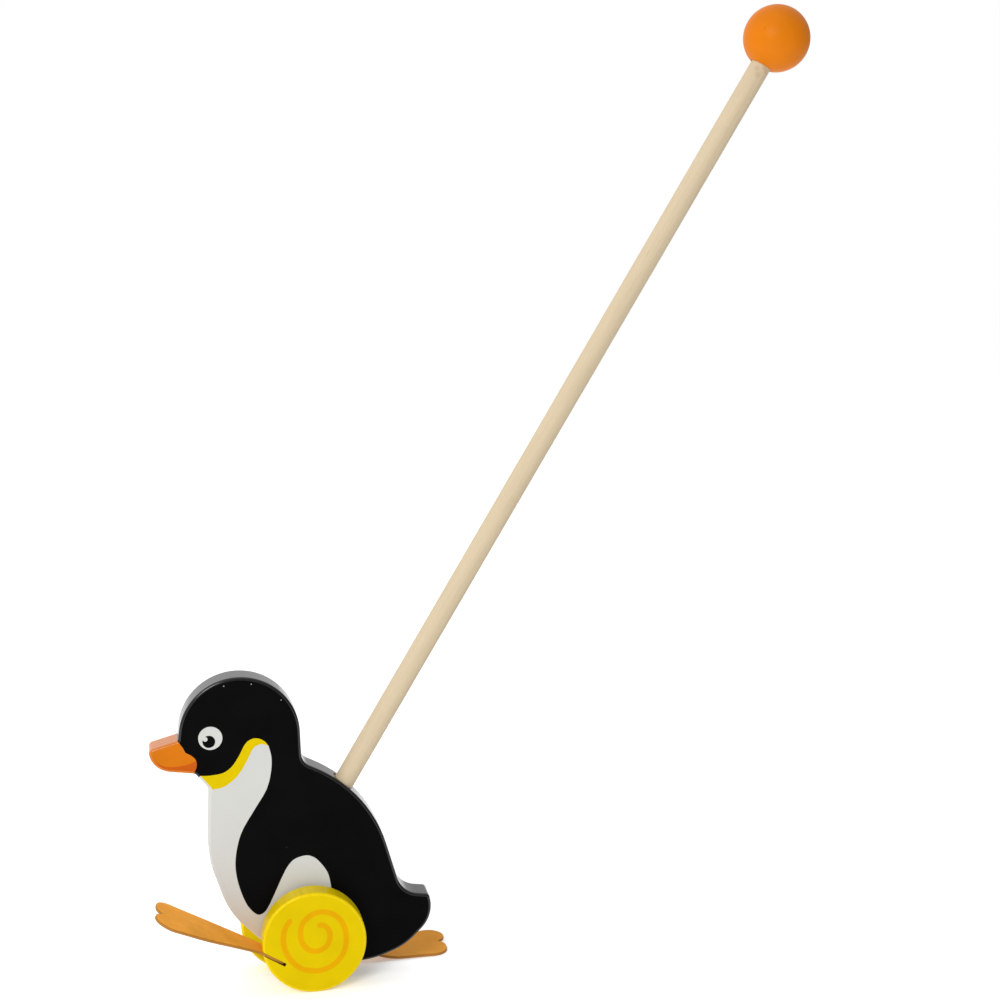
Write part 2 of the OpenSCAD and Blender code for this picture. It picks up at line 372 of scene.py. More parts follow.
def piece(name, points, faces, materials, paints=None, matrix=None, flat=None):
    """A new object with outward faces, in the scene. flat gives each point's place on a UV map."""
    mesh = bpy.data.meshes.new(name)
    mesh.from_pydata(points, [], faces)
    for material in materials:
        mesh.materials.append(material)
    if paints:
        mesh.polygons.foreach_set("material_index", paints)
    if flat:
        chart = mesh.uv_layers.new(name="flat")
        for loop in mesh.loops:
            chart.data[loop.index].uv = flat[loop.vertex_index]
    work = bmesh.new()
    work.from_mesh(mesh)
    loose = [v for v in work.verts if not v.link_faces]
    bmesh.ops.delete(work, geom=loose, context="VERTS")
    bmesh.ops.recalc_face_normals(work, faces=work.faces)
    work.to_mesh(mesh)
    work.free()
    made = bpy.data.objects.new(name, mesh)
    if matrix is not None:
        made.matrix_world = matrix
    bpy.context.scene.collection.objects.link(made)
    return made


def cut(made, cutters):
    """Cuts the cutters out of a piece, whose new faces take the cutters' finish."""
    for cutter in cutters:
        step = made.modifiers.new("cut", "BOOLEAN")
        step.operation = "DIFFERENCE"
        step.solver = "EXACT"
        step.material_mode = "TRANSFER"
        step.object = cutter
    bpy.context.view_layer.update()
    whole = made.evaluated_get(bpy.context.evaluated_depsgraph_get())
    mesh = bpy.data.meshes.new_from_object(whole)
    made.modifiers.clear()
    made.data = mesh
    for cutter in cutters:
        bpy.data.objects.remove(cutter)


def soften(made, angle=32):
    """Smooth shading that keeps flat faces flat and edges above the angle sharp."""
    made.data.shade_smooth()
    made.data.set_sharp_from_angle(angle=math.radians(angle))
    step = made.modifiers.new("normals", "WEIGHTED_NORMAL")
    step.keep_sharp = True


def finish_piece(made, body, slot, *nodes):
    """Puts a piece on its body, in place of the CAD nodes that it stands for."""
    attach(made, body)
    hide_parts(*nodes)


# ---------------------------------------------------------------- finishes


class Wire:
    """An output socket in a finish. Arithmetic on it adds Math nodes."""

    def __init__(self, finish, socket):
        self.finish = finish
        self.socket = socket

    def other(self, name):
        """Another output of the same node."""
        return Wire(self.finish, self.socket.node.outputs[name])

    def math(self, operation, *values):
        return self.finish.node("ShaderNodeMath", {"operation": operation}, dict(enumerate(values)))

    def __add__(self, value):
        return self.math("ADD", self, value)

    __radd__ = __add__

    def __sub__(self, value):
        return self.math("SUBTRACT", self, value)

    def __rsub__(self, value):
        return self.math("SUBTRACT", value, self)

    def __mul__(self, value):
        return self.math("MULTIPLY", self, value)

    __rmul__ = __mul__


class Finish:
    """A material being made: its nodes, and the surface that they feed."""

    def __init__(self, name):
        self.material = bpy.data.materials.new(name)
        self.material.use_nodes = True
        self.tree = self.material.node_tree
        self.tree.nodes.clear()

    def node(self, kind, settings, sockets, output=0):
        """Adds a node: its settings first, then its sockets' values or links. Gives one output."""
        made = self.tree.nodes.new(kind)
        for name, value in settings.items():
            if name == "stops":
                ramp = made.color_ramp.elements
                while len(ramp) < len(value):
                    ramp.new(1)
                for stop, (at, colour) in zip(ramp, value):
                    stop.position = at
                    stop.color = colour
            else:
                setattr(made, name, value)
        for name, value in sockets.items():
            if isinstance(value, Wire):
                self.tree.links.new(value.socket, made.inputs[name])
            else:
                made.inputs[name].default_value = value
        return Wire(self, made.outputs[output]) if made.outputs else None

    def place(self, source="Object", scale=(1, 1, 1)):
        """Coordinates on the piece, stretched along its axes."""
        spot = self.node("ShaderNodeTexCoord", {}, {}, source)
        return self.vector("MULTIPLY", spot, scale)

    def vector(self, operation, a, b, output="Vector"):
        return self.node("ShaderNodeVectorMath", {"operation": operation}, {0: a, 1: b}, output)

    def noise(self, place, scale, detail=2, rough=0.5):
        return self.node("ShaderNodeTexNoise", {}, {"Vector": place, "Scale": scale, "Detail": detail,
                                                    "Roughness": rough}, "Fac")

    def cells(self, place, scale):
        """Distance from the nearest of many scattered points; the Color output is each one's own."""
        return self.node("ShaderNodeTexVoronoi", {}, {"Vector": place, "Scale": scale}, "Distance")

    def ease(self, value, low, high, start=0, end=1):
        """Goes smoothly from start to end as value goes from low to high."""
        return self.node("ShaderNodeMapRange", {"interpolation_type": "SMOOTHSTEP"},
                         {0: value, 1: low, 2: high, 3: start, 4: end})

    def axis(self, place, name):
        return self.node("ShaderNodeSeparateXYZ", {}, {0: place}, name)

    def mix(self, share, a, b):
        """Colour a where share is 0 and b where it is 1."""
        def full(colour):
            return colour if isinstance(colour, Wire) else (*colour, 1)
        return self.node("ShaderNodeMix", {"data_type": "RGBA"}, {0: share, 6: full(a), 7: full(b)}, 2)

    def dots(self, place, scale, size, kept):
        """Small scattered dots: 1 inside a dot. kept is the share of cells that have one."""
        cells = self.cells(place, scale)
        here = self.ease(self.axis(cells.other("Color"), "X"), 1 - kept - 0.002, 1 - kept)
        return here * self.ease(cells, size * 0.6, size, 1, 0)

    def near(self, place, spots, radius):
        """1 within radius of any of the spots, in metres."""
        share = 0
        for spot in spots:
            away = self.vector("DISTANCE", place, spot, "Value")
            share = self.ease(away, radius * 0.5, radius, 1, 0) + share
        return share

    def bump(self, height, distance, strength=1):
        sockets = {"Height": height, "Distance": distance, "Strength": strength}
        return self.node("ShaderNodeBump", {}, sockets)

    def surface(self, **sockets):
        """Ends the finish with a surface. Socket names have _ for a space."""
        named = {name.replace("_", " "): value for name, value in sockets.items()}
        colour = named.get("Base Color")
        if not isinstance(colour, Wire):
            named["Base Color"] = (*colour, 1)
        shader = self.node("ShaderNodeBsdfPrincipled", {}, {
            n.replace("Specular", "Specular IOR Level"): v for n, v in named.items()})
        self.node("ShaderNodeOutputMaterial", {}, {"Surface": shader})
        return self.material


def scaled(colour, share):
    return tuple(part * share for part in colour)


def printed(name, colour, gloss=0.03, rough=0.42):
    """Flat printed paint on sanded board: even colour, a faint tooth and a few dust marks."""
    f = Finish(name)
    place = f.place()
    cloud = f.noise(place, 60, 3)
    tone = f.mix(f.ease(cloud, 0.3, 0.7), scaled(colour, 0.96), scaled(colour, 1.04))
    tone = f.mix(f.dots(place, 210, 0.11, 0.02) * 0.35, tone, scaled(colour, 0.55))
    tooth = f.noise(place, 900, 3) * 0.4 + f.noise(f.place(scale=(1, 1, 0.12)), 420, 2)
    return f.surface(Base_Color=tone, Roughness=f.ease(cloud, 0.2, 0.8, rough - 0.05, rough + 0.06),
                     Specular=gloss, Normal=f.bump(tooth, 0.00002))


def black_print(colours, chips=()):
    """Black print: almost no gloss, with specks of dust and chips that show the primer."""
    f = Finish("black print")
    place = f.place()
    cloud = f.noise(place, 45, 3)
    tone = f.mix(f.ease(cloud, 0.3, 0.7), scaled(colours.black, 0.75), scaled(colours.black, 1.35))
    tone = f.mix(f.dots(place, 260, 0.1, 0.025) * 0.5, tone, (0.06, 0.06, 0.06))
    tone = f.mix(f.near(place, chips, 0.00035), tone, (0.5, 0.5, 0.48))
    tooth = f.noise(place, 900, 3) * 0.5 + f.noise(f.place(scale=(0.15, 1, 1)), 500, 2)
    return f.surface(Base_Color=tone, Roughness=f.ease(cloud, 0.2, 0.8, 0.34, 0.46),
                     Specular=0.03, Normal=f.bump(tooth, 0.00002))


def lacquered(name, colour, rough=0.12, gloss=0.42, wear=(0.5, 0.5, 0.5)):
    """Gloss lacquer brushed on a smooth edge: barely uneven, with a few tiny worn spots."""
    f = Finish(name)
    place = f.place()
    cloud = f.noise(place, 90, 4)
    marks = f.noise(f.place(scale=(1, 0.1, 1)), 420, 2)
    tone = f.mix(f.ease(marks, 0.3, 0.7), scaled(colour, 0.95), scaled(colour, 1.05))
    tone = f.mix(f.dots(place, 300, 0.12, 0.012) * 0.4, tone, wear)
    return f.surface(Base_Color=tone, Roughness=f.ease(cloud, 0.25, 0.75, rough * 0.8, rough * 1.3),
                     Specular=gloss, Normal=f.bump(marks + f.noise(place, 70, 2) * 2, 0.00002))


def white_paint(colours):
    """White paint that turns warmer low on the chest and towards its front."""
    f = Finish("white paint")
    place = f.place()
    x, z = f.axis(place, "X"), f.axis(place, "Z")
    low = f.ease(z, 0.020, 0.068, 1, 0)
    front = f.ease(x + z * 0.62, -0.018, 0.012, 1, 0)
    # A warmer tint low on the chest and towards its front
    low_warm_tint = low * (0.35 + front * 0.65) * f.ease(f.noise(place, 30, 3), 0.2, 0.8, 0.8, 1.2)
    tone = f.mix(low_warm_tint, colours.white, colours.low_warm_tint)
    tone = f.mix(f.ease(f.noise(place, 55, 3), 0.35, 0.75) * 0.12, tone, scaled(colours.white, 0.85))
    tone = f.mix(f.dots(place, 200, 0.09, 0.03) * 0.25, tone, (0.35, 0.3, 0.24))
    tooth = f.noise(place, 800, 3) * 0.4 + f.noise(f.place(scale=(1, 1, 0.12)), 420, 2)
    return f.surface(Base_Color=tone, Roughness=0.45, Specular=0.04, Normal=f.bump(tooth, 0.00002))


def bare_wood(name, colour, dark, along="Z", rough=0.6, dark_spots=()):
    """Birch: fine grain along one axis, darker flecks, and soft blotches."""
    f = Finish(name)
    long = {"X": (0.04, 1, 1), "Y": (1, 0.04, 1), "Z": (1, 1, 0.04)}[along]
    def along_grain(share):
        return f.place(scale=tuple(1 if part == 1 else share for part in long))

    grain = f.noise(f.place(scale=long), 900, 4, 0.6)
    bands = f.noise(along_grain(0.012), 260, 3)
    blotch = f.noise(along_grain(0.25), 70, 3)
    tone = f.mix(f.ease(grain, 0.35, 0.75), colour, f.mix(0.14, colour, dark))
    tone = f.mix(f.ease(bands, 0.5, 0.75) * 0.14, tone, dark)
    tone = f.mix(f.ease(blotch, 0.5, 0.8) * 0.4, tone, scaled(colour, 0.88))
    tone = f.mix(f.dots(along_grain(0.16), 330, 0.14, 0.04) * 0.3, tone, dark)
    # Darker round spots at the listed places
    tone = f.mix(f.near(f.place(), dark_spots, 0.0022) * 0.35, tone, dark)
    return f.surface(Base_Color=tone, Roughness=f.ease(grain, 0.3, 0.7, rough - 0.08, rough + 0.1),
                     Specular=0.15, Normal=f.bump(grain + bands * 0.5, 0.00003))


def leather(name, colour, dark):
    """Smooth dyed leather: fine pebbled grain, open pores and a cloudy dye."""
    f = Finish(name)
    place = f.place("UV")
    pebble = f.cells(place, 1100)
    cloud = f.noise(place, 55, 4, 0.6)
    tone = f.mix(f.ease(cloud, 0.3, 0.72), colour, f.mix(0.3, colour, dark))
    tone = f.mix(f.ease(f.noise(place, 420, 3), 0.45, 0.75) * 0.2, tone, scaled(colour, 0.8))
    pores = f.dots(place, 300, 0.1, 0.05) + f.dots(place, 620, 0.14, 0.05) * 0.6
    tone = f.mix(pores * 0.75, tone, scaled(dark, 0.4))
    height = pebble * 0.6 + f.noise(place, 300, 3) * 0.8 - pores * 0.8
    return f.surface(Base_Color=tone, Roughness=f.ease(cloud, 0.3, 0.7, 0.62, 0.74), Specular=0.12,
                     Normal=f.bump(height, 0.00006))


def ball_lacquer(colours, pit):
    """Dipped lacquer on a turned ball: thin orange peel, a small pit darkened with painted shade, and dust
    under the coat.
    """
    f = Finish("ball lacquer")
    place = f.place()
    peel = f.noise(place, 160, 2) * 2 + f.noise(place, 420, 2)
    hole = f.near(place, pit, 0.0005)
    tone = f.mix(f.ease(f.noise(place, 45, 3), 0.3, 0.7), scaled(colours.ball, 0.97),
                 scaled(colours.ball, 1.03))
    # The pit is a dent in the bump, and its darker colour is painted shade inside it
    tone = f.mix(f.dots(place, 230, 0.1, 0.02) * 0.3 + hole * 0.5, tone, scaled(colours.ball, 0.5))
    return f.surface(Base_Color=tone, Roughness=f.ease(peel, 1, 2.2, 0.34, 0.42), Specular=0.06,
                     Normal=f.bump(peel - hole * 4, 0.00004))


class Sky(Finish):
    """The world's light being made from nodes."""

    def __init__(self, name):
        self.world = bpy.data.worlds.new(name)
        self.world.use_nodes = True
        self.tree = self.world.node_tree
        self.tree.nodes.clear()


def studio_light():
    """White studio: bright overhead, behind and on the left, dim in front, and plain white to see."""
    f = Sky("studio")
    way = f.place("Generated")
    rise = f.axis(way, "Z") * 0.7 + f.axis(way, "Y") * 0.45 - f.axis(way, "X") * 0.4
    glow = f.ease(rise, -0.6, 0.85, 0.18, 1.15)
    seen = f.node("ShaderNodeLightPath", {}, {}, "Is Camera Ray")
    shine = f.node("ShaderNodeBackground", {}, {"Color": (1, 1, 1, 1), "Strength": glow + seen * (1 - glow)})
    f.node("ShaderNodeOutputWorld", {}, {"Surface": shine})
    return f.world


def studio_floor(colour):
    """Matt pale floor that fades out far from the object."""
    f = Finish("studio floor")
    place = f.place()
    away = f.vector("LENGTH", place, (0, 0, 0), "Value")
    tone = f.mix(f.ease(f.noise(place, 3, 2), 0.3, 0.7), scaled(colour, 0.995), colour)
    return f.surface(Base_Color=tone, Roughness=0.9, Specular=0.0, Emission_Color=(1, 1, 1, 1),
                     Emission_Strength=0.25, Alpha=f.ease(away, 1.6, 3.6, 1, 0))


# ---------------------------------------------------------------- sizes and colours to change


def colour_property(name, description, default):
    return bpy.props.FloatVectorProperty(name=name, description=description, subtype="COLOR", size=3,
                                         min=0, max=1, default=default)


def length_property(name, description, default):
    return bpy.props.FloatProperty(name=name, description=description, unit="LENGTH", min=0.0001,
                                   default=default)


class PenguinSizes(bpy.types.PropertyGroup):
    board_height: length_property("Board height", "Height of the board, belly to crown", extent("body").z)
    board_thickness: length_property("Board thickness", "Thickness of the board", extent("body").y)
    board_edge: length_property("Board edge", "Rounding of the board's edges", 0.0015)
    wheel_diameter: length_property("Wheel diameter", "Diameter of each wheel", 2 * AXLE.z)
    wheel_thickness: length_property("Wheel thickness", "Thickness of a wheel", extent("wheel_left").y)
    wheel_edge: length_property("Wheel edge", "Rounding of the wheels' rims", 0.0015)
    spiral_width: length_property("Spiral width", "Width of the painted spiral", 0.0032)
    leather_thickness: length_property("Leather thickness", "Thickness of the feet", 0.0016)
    stick_diameter: length_property("Stick diameter", "Diameter of the stick", extent("stick").y)
    ball_diameter: length_property("Ball diameter", "Diameter of the ball", extent("ball").y)


class PenguinColours(bpy.types.PropertyGroup):
    black: colour_property("Black", "Printed black of the head, wings and tail", (0.0015, 0.0015, 0.0016))
    edge_black: colour_property("Edge black", "Gloss black of the board's edges", (0.005, 0.005, 0.005))
    white: colour_property("White", "White of the chest and eyes", (0.545, 0.55, 0.525))
    low_warm_tint: colour_property("Low warm tint", "Warm tint low on the chest", (0.59, 0.50, 0.42))
    collar: colour_property("Collar", "Yellow of the collar", (0.62, 0.455, 0.0004))
    beak: colour_property("Beak", "Orange of the beak", (0.56, 0.155, 0.006))
    lip: colour_property("Lip", "Darker orange under the beak", (0.48, 0.09, 0.006))
    wheel: colour_property("Wheel", "Yellow of the wheels", (0.625, 0.46, 0.0003))
    spiral: colour_property("Spiral", "Orange of the wheels' spirals", (0.655, 0.335, 0.0003))
    leather: colour_property("Leather", "Dyed face of the feet", (0.93, 0.385, 0.032))
    leather_edge: colour_property("Leather edge", "Cut edge of the feet", (0.42, 0.18, 0.03))
    wood: colour_property("Wood", "Birch of the stick and the axle", (0.556, 0.455, 0.31))
    wood_dark: colour_property("Dark wood", "Grain and flecks of the birch", (0.38, 0.28, 0.16))
    ball: colour_property("Ball", "Orange of the ball", (0.61, 0.165, 0.004))
    floor: colour_property("Floor", "Pale studio floor", (0.93, 0.93, 0.93))


# ---------------------------------------------------------------- board

BOARD_PAINTS = ("black", "white", "collar", "beak", "lip")


def board_paints(scale):
    """The penguin's printed areas, in the order that they are looked up."""
    beak = smooth(FACE_LINE) + [Vector((-95, 95)), Vector((-95, 128))]
    lip = smooth(LIP_LINE) + [Vector((-52, 94)), Vector((-90, 94))]
    top, foot = smooth(COLLAR_TOP), smooth(COLLAR_FOOT)
    chest = top + smooth(WING_FRONT)[1:] + [Vector((-70, -30)), Vector((-80, 60)), Vector((-62, 92))]
    drawn = [
        ([disc(*GLINT)], "white"),
        ([disc(*PUPIL)], "black"),
        ([disc(*EYE)], "white"),
        ([lip, beak], "lip"),
        ([beak], "beak"),
        ([top + foot[1:]], "collar"),
        ([chest], "white"),
    ]
    return [([[p * scale for p in outline] for outline in outlines], BOARD_PAINTS.index(paint))
            for outlines, paint in drawn]


def stick_matrix(scale):
    """Where the stick enters the back, with +Z along the stick."""
    at = Vector((AXLE.x + STICK_IN[0] * scale * MM, 0, AXLE.z + STICK_IN[1] * scale * MM))
    return Matrix.Translation(at) @ Matrix.Rotation(math.radians(STICK_LEAN), 4, "Y")


def drawn_scale(sizes):
    """How much larger the board is than it is drawn."""
    heights = [p.y for p in rounded(PENGUIN)]
    return sizes.board_height / MM / (max(heights) - min(heights))


class PENGUIN_OT_board(bpy.types.Operator):
    """Make the penguin's board, with its printed faces, lacquered edges and holes"""

    bl_idname = "penguin.board"
    bl_label = "Board"

    def execute(self, context):
        sizes, colours = context.scene.penguin_sizes, context.scene.penguin_colours
        scale = drawn_scale(sizes)
        outline = [p * scale for p in rounded(PENGUIN)]
        paints = board_paints(scale)
        board = Slab(outline, sizes.board_thickness / MM, sizes.board_edge / MM, paints, paints)
        half = sizes.board_thickness / 2
        chips = [(x * MM, -half, z * MM) for x, z in CHIPS]
        edge = {"black": "edge black", "white": "white", "collar": "white", "beak": "edge beak",
                "lip": "edge beak"}
        materials = {
            "black": black_print(colours, chips),
            "white": white_paint(colours),
            "collar": printed("collar yellow", colours.collar),
            "beak": printed("beak orange", colours.beak),
            "lip": printed("lip orange", colours.lip),
            "edge black": lacquered("edge black", colours.edge_black),
            "edge beak": lacquered("edge orange", colours.beak, gloss=0.35),
        }
        order = list(materials)
        flat = [edge[BOARD_PAINTS[p[1]]] if isinstance(p, tuple) else BOARD_PAINTS[p] for p in board.paints]
        flat = [order.index(name) for name in flat]
        points = [(AXLE.x + u * MM, h * MM, AXLE.z + w * MM) for u, h, w in board.points]
        made = piece("penguin_board", points, board.faces, list(materials.values()), flat)
        hollow = bare_wood("hole wood", scaled(colours.wood, 0.8), colours.wood_dark)
        radius = sizes.stick_diameter / 2
        above = 0.012            # the cutters stand this far out of the back
        seat = [(0, -BACK_SEAT * MM), (radius, -BACK_SEAT * MM), (radius, above), (0, above)]
        wider, deep = radius + MOUTH_WIDER * MM, -MOUTH_DEPTH * MM
        mouth = [(0, deep), (wider, deep), (wider, above), (0, above)]
        aside = Matrix.Translation((MOUTH_ASIDE[0] * MM, MOUTH_ASIDE[1] * MM, 0))
        bore = extent("axle").z / 2 + RUN_CLEAR * MM
        through = [(0, -half - 0.002), (bore, -half - 0.002), (bore, half + 0.002), (0, half + 0.002)]
        cut(made, [
            piece("seat cutter", *turned(seat), [hollow], matrix=stick_matrix(scale)),
            piece("mouth cutter", *turned(mouth), [hollow], matrix=stick_matrix(scale) @ aside),
            piece("bore cutter", *turned(through), [hollow],
                  matrix=Matrix.Translation(AXLE) @ Matrix.Rotation(math.pi / 2, 4, "X")),
        ])
        soften(made)
        finish_piece(made, "penguin", "painted_body", "body")
        return {"FINISHED"}


# ---------------------------------------------------------------- axle and wheels


class PENGUIN_OT_axle(bpy.types.Operator):
    """Give the wooden axle its finish"""

    bl_idname = "penguin.axle"
    bl_label = "Axle"

    def execute(self, context):
        colours = context.scene.penguin_colours
        wood = bare_wood("axle wood", colours.wood, colours.wood_dark, along="Y")
        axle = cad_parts["axle"]
        axle.data.materials.clear()
        axle.data.materials.append(wood)
        return {"FINISHED"}


def wheel_middle(hand):
    """Middle of a wheel in the plane of the side view, in millimetres."""
    return Vector((AXLE.x / MM - hand * WADDLE, AXLE.z / MM))


def heading(angle):
    return Vector((math.cos(math.radians(angle)), math.sin(math.radians(angle))))


def slot_mouth(hand, radius):
    """A slot's mouth and the way that the slot points, out of the wheel."""
    return wheel_middle(hand) + radius * heading(SLOT_AT[hand]), SLOT_AT[hand] + SLOT_TURN


class PENGUIN_OT_wheels(bpy.types.Operator):
    """Make the two painted wheels, each with a spiral, a slot and an axle hole"""

    bl_idname = "penguin.wheels"
    bl_label = "Wheels"

    def execute(self, context):
        sizes, colours = context.scene.penguin_sizes, context.scene.penguin_colours
        radius = sizes.wheel_diameter / 2 / MM
        wide = sizes.wheel_thickness / MM
        face = printed("wheel yellow", colours.wheel)
        # The rim takes the face's yellow painted 1.15 times lighter: painted light, so the rim looks
        # brighter than it is lit
        rim = lacquered("rim yellow with painted light", scaled(colours.wheel, 1.15), rough=0.35, gloss=0.12,
                        wear=scaled(colours.wheel, 0.5))
        spiral = printed("spiral orange", colours.spiral)
        # The slot's inside is dark brown wood at 0.3 and 0.5 of the leather edge's colour: bare cut wood,
        # darkened further with painted shade inside the slot
        slot_shade_tone = colours.leather_edge
        slot_wood = bare_wood("slot wood with painted shade", scaled(slot_shade_tone, 0.3), scaled(slot_shade_tone, 0.5), along="Y")
        axle_wood = bare_wood("wheel wood", colours.wood, colours.wood_dark, along="Y")
        for hand, name, node in ((LEFT, "left_wheel", "wheel_left"),
                                 (RIGHT, "right_wheel", "wheel_right")):
            mark = stroke([(x * radius / 30, y * radius / 30) for x, y in SPIRAL], sizes.spiral_width / MM)
            wheel = Slab(disc((0, 0), radius, 120), wide, sizes.wheel_edge / MM, [([mark], 2)])
            centre = wheel_middle(hand)
            points = [((centre.x + u) * MM, hand * (WHEEL_IN + (wide / 2 - h) * MM), (centre.y + w) * MM)
                      for u, h, w in wheel.points]
            paints = [1 if isinstance(p, tuple) else p for p in wheel.paints]
            made = piece(name, points, wheel.faces, [face, rim, spiral], paints)
            mouth, way = slot_mouth(hand, radius)
            across = sizes.leather_thickness / MM / 2 + SLOT_GAP
            along, aside = heading(way), heading(way + 90)
            corners = [mouth + along * a + aside * b for a, b in (
                (-SLOT_DEPTH, -across), (12, -across), (12, across), (-SLOT_DEPTH, across))]
            depths = [hand * (WHEEL_IN + d * MM) for d in (-1, wide + 1)]
            box = [(c.x * MM, y, c.y * MM) for y in depths for c in corners]
            sides = [[0, 1, 2, 3], [4, 5, 6, 7]]
            sides += [[i, (i + 1) % 4, 4 + (i + 1) % 4, 4 + i] for i in range(4)]
            bore = extent("axle").z / 2
            end = extent("axle").y / 2 + AXLE_END_GAP * MM - WHEEL_IN
            hole = [(0, -0.001), (bore, -0.001), (bore, end), (0, end)]
            turn = Matrix.Rotation(-hand * math.pi / 2, 4, "X")
            cut(made, [
                piece("slot cutter", box, sides, [slot_wood]),
                piece("hole cutter", *turned(hole), [axle_wood],
                      matrix=Matrix.Translation((AXLE.x, hand * WHEEL_IN, AXLE.z)) @ turn),
            ])
            soften(made)
            finish_piece(made, "wheels", "yellow_wheel", node)
        return {"FINISHED"}


# ---------------------------------------------------------------- feet


class FootPath:
    """The line that a foot's leather follows, seen from the side: straight in its slot, then round a
    bend, then straight to the toes."""

    def __init__(self, hand, radius, thick):
        mouth, self.first = slot_mouth(hand, radius)
        self.start = mouth + BEND_OUT * heading(self.first)
        if hand == LEFT:
            self.turn, self.bend = LEFT_TURN, LEFT_BEND
        else:
            self.turn = -self.first
            drop = self.start.y - thick / 2 - 0.2
            self.bend = drop / (1 - math.cos(math.radians(self.turn))) * math.radians(self.turn)
        self.round = self.bend / math.radians(self.turn)

    def at(self, s):
        """The point at the distance s from the bend line, and the leather's upright there."""
        bent = min(max(s, 0), self.bend)
        angle = self.first + self.turn * bent / self.bend
        before = heading(self.first - 90) * self.round
        point = self.start + heading(angle - 90) * self.round - before
        point += heading(angle) * (min(s, 0) + max(s - self.bend, 0))
        return point, heading(angle + 90)


def foot_plan(out, root, wheel):
    """A foot laid flat: (s, v) from the bend line and outwards from the wheel's inner face."""
    wide = FOOT_WIDTH
    return rounded([
        (-root, 0.3, 0.8),
        (0, 0.4, 20),
        (out - 0.5, 0.4, 9),                # inner toe
        (out - 0.5, wide * 0.43, 7),
        (out - 5, wide * 0.51, 1.2),        # notch between the toes
        (out, wide * 0.59, 7),
        (out, wide * 1.07, 10),             # outer toe
        (out * 0.5, wide * 0.79, 90),
        (out * 0.14, wide * 0.5, 14),       # shoulder
        (-1, wheel - 0.2, 6),
        (-root * 0.62, wheel - 0.4, 8),
        (-root, wheel - 1.6, 1),
    ], step=8)


def dense(outline, longest):
    """The outline with its long edges cut into equal parts, so that it can bend."""
    out = []
    for i, p in enumerate(outline):
        last = outline[i - 1]
        parts = math.ceil((p - last).length / longest)
        out += [last + (p - last) * j / parts for j in range(1, parts + 1)]
    return out


class PENGUIN_OT_feet(bpy.types.Operator):
    """Make the two leather feet, each one piece from its slot to its toes"""

    bl_idname = "penguin.feet"
    bl_label = "Feet"

    def execute(self, context):
        sizes, colours = context.scene.penguin_sizes, context.scene.penguin_colours
        radius = sizes.wheel_diameter / 2 / MM
        wheel = sizes.wheel_thickness / MM
        thick = sizes.leather_thickness / MM
        # The right foot's leather is the same leather painted 0.74 times as dark: painted shade, as that
        # foot stands in the board's shadow
        faces = {LEFT: leather("left leather", colours.leather, colours.leather_edge),
                 RIGHT: leather("right leather with painted shade", scaled(colours.leather, 0.74), colours.leather_edge)}
        edge = leather("leather edge", colours.leather_edge, scaled(colours.leather_edge, 0.6))
        for hand, name, body in ((LEFT, "left_foot_leather", "left_foot"),
                                 (RIGHT, "right_foot_leather", "right_foot")):
            path = FootPath(hand, radius, thick)
            root = GLUED[hand] + BEND_OUT
            out = FOOT_LENGTH - root
            plan = dense(foot_plan(out, root, wheel), 2.5)
            inner = [Vector((s, v)) for s in range(int(1 - root), int(out), 2) for v in range(2, 42, 3)]
            inner = [p for p in inner if holds(plan, p) and min((p - q).length for q in plan) > 1.2]
            sole = Slab(plan, thick, 0.35, extra=inner, steps=3)
            points = []
            for s, h, v in sole.points:
                spot, upright = path.at(s)
                free = min(max((s - 12) / 45, 0), 1)
                lift = free * (0.5 * (v / FOOT_WIDTH) ** 2 + 0.12 * math.sin(s * 0.16 + v * 0.11 * hand))
                spot += upright * (h + max(lift, 0))
                points.append((spot.x * MM, hand * (WHEEL_IN + v * MM), spot.y * MM))
            paints = [1 if isinstance(p, tuple) else 0 for p in sole.paints]
            flat = [(s * MM, v * MM) for s, _, v in sole.points]
            made = piece(name, points, sole.faces, [faces[hand], edge], paints, flat=flat)
            soften(made, 50)
            start, end = path.at(-BEND_OUT * 0.8)[0], path.at(8)[0]
            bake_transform(made)
            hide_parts("foot_left" if hand == LEFT else "foot_right",
                        "foot_left_root" if hand == LEFT else "foot_right_root")
        return {"FINISHED"}


# ---------------------------------------------------------------- stick and ball


class PENGUIN_OT_stick(bpy.types.Operator):
    """Make the round birch stick"""

    bl_idname = "penguin.stick"
    bl_label = "Stick"

    def execute(self, context):
        sizes, colours = context.scene.penguin_sizes, context.scene.penguin_colours
        radius, edge = sizes.stick_diameter / 2, 0.0008
        low = (SEAT_GAP - BACK_SEAT) * MM
        length = stick_length(sizes)
        cuts = 40
        profile = [(0, low), (radius - edge, low), (radius, low + edge)]
        for i in range(1, cuts):
            height = low + length * i / cuts
            profile.append((radius * (1 + 0.004 * math.sin(i * 1.7) * math.sin(i * 0.6)), height))
        profile += [(radius, low + length - edge), (radius - edge, low + length), (0, low + length)]
        dark_spots = [(x * MM, -radius * 0.92, low + length - up * MM) for x, up in DARK_SPOTS]
        wood = bare_wood("stick birch", colours.wood, colours.wood_dark, dark_spots=dark_spots)
        made = piece("push_stick", *turned(profile), [wood], matrix=stick_matrix(drawn_scale(sizes)))
        soften(made)
        finish_piece(made, "penguin", "bare_wood", "stick")
        return {"FINISHED"}


def stick_length(sizes):
    """Length of the whole stick, which runs from its seat in the back to past the ball's middle."""
    up = stick_matrix(drawn_scale(sizes)).to_3x3() @ Vector((0, 0, 1))
    entry = stick_matrix(drawn_scale(sizes)).translation
    reach = (middle("stick") - entry).dot(up)
    return 2 * (reach + (BACK_SEAT - SEAT_GAP) * MM)


